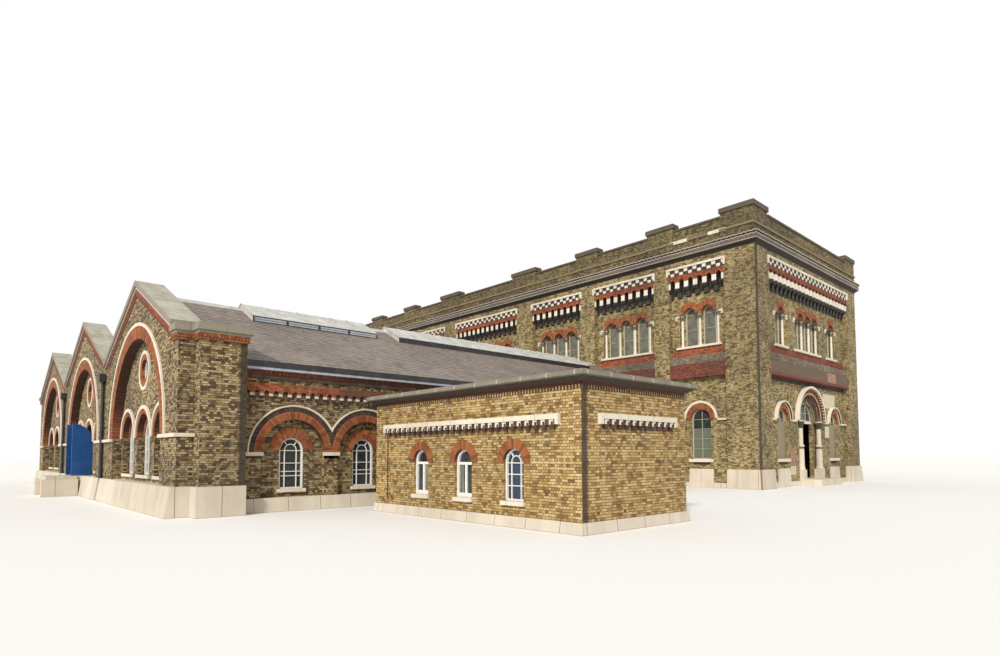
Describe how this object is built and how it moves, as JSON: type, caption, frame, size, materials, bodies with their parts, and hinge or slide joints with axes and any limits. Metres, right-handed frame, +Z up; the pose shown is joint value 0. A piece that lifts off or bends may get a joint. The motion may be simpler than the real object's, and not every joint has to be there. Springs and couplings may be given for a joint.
{
  "type": "beam engine house with boiler house and annex, half-size scale model",
  "caption": "Half-size model of a Victorian pumping station: tall arcaded engine house, gabled boiler house with blue doors, low annex.",
  "frame": {"origin": "on the ground under the middle of the whole plan", "axes": "+X along the long walls towards the annex, +Y from the boiler house's gables to the engine house, +Z up"},
  "size_m": [26.39, 23.5, 8.3],
  "materials": {
    "stock_brick": "weathered yellow stock brick",
    "red_brick": "rubbed orange-red brick",
    "white_stone": "painted and weathered pale stone",
    "grey_stone": "weathered grey stone",
    "cornice_black": "black-stained moulded cornice",
    "slate": "purple-grey slates",
    "lead": "dull lead sheet",
    "cast_iron": "black painted",
    "blue_boards": "blue painted boards",
    "window_glass": "old window glass"
  },
  "bodies": {
    "building": {"engine_front_wall": "stock_brick", "engine_back_wall": "stock_brick", "engine_east_wall_left": "stock_brick", "engine_east_wall_right": "stock_brick", "engine_east_wall_over": "stock_brick", "engine_west_wall": "stock_brick", "engine_plinth": "white_stone", "engine_brick_arches": "red_brick", "engine_stone_strings": "white_stone", "engine_storey_bands": "red_brick", "engine_columns": "white_stone", "engine_corbel_arches": "red_brick", "engine_corbels": "white_stone", "engine_cornice": "cornice_black", "engine_parapet": "stock_brick", "engine_coping": "grey_stone", "engine_roof": "lead", "engine_floors": "grey_stone", "engine_glass": "window_glass", "engine_landing": "white_stone", "boiler_gable_east": "stock_brick", "boiler_gable_west": "stock_brick", "boiler_gable_middle_left": "stock_brick", "boiler_gable_middle_right": "stock_brick", "boiler_gable_middle_over": "stock_brick", "boiler_corner_piers": "stock_brick", "boiler_side_wall_east": "stock_brick", "boiler_side_wall_west": "stock_brick", "boiler_plinth": "white_stone", "boiler_brick_arches": "red_brick", "boiler_stone_strings": "white_stone", "boiler_rake_copings": "white_stone", "boiler_corbel_arches": "red_brick", "boiler_gutters": "cast_iron", "boiler_roof": "slate", "boiler_ridge_vents": "lead", "boiler_floor": "grey_stone", "boiler_glass": "window_glass", "boiler_downpipes": "cast_iron", "door_pins": "cast_iron", "door_steps": "white_stone", "annex_front_wall": "stock_brick", "annex_side_walls": "stock_brick", "annex_back_wall": "stock_brick", "annex_plinth_stones": "white_stone", "annex_brick_arches": "red_brick", "annex_stone_bands": "white_stone", "annex_roof": "grey_stone", "annex_glass": "window_glass"},
    "left_leaf": {"door_left": "blue_boards"},
    "right_leaf": {"door_right": "blue_boards"}
  },
  "joints": [
    {"name": "left_leaf_hinge", "type": "hinge", "parent": "building", "child": "left_leaf", "pos_m": [-1.85, -10.675, 0.5], "axis": [0, 0, 1], "range_deg": [0, 90]},
    {"name": "right_leaf_hinge", "type": "hinge", "parent": "building", "child": "right_leaf", "pos_m": [-0.94, -10.675, 0.5], "axis": [0, 0, -1], "range_deg": [0, 90]}
  ]
}
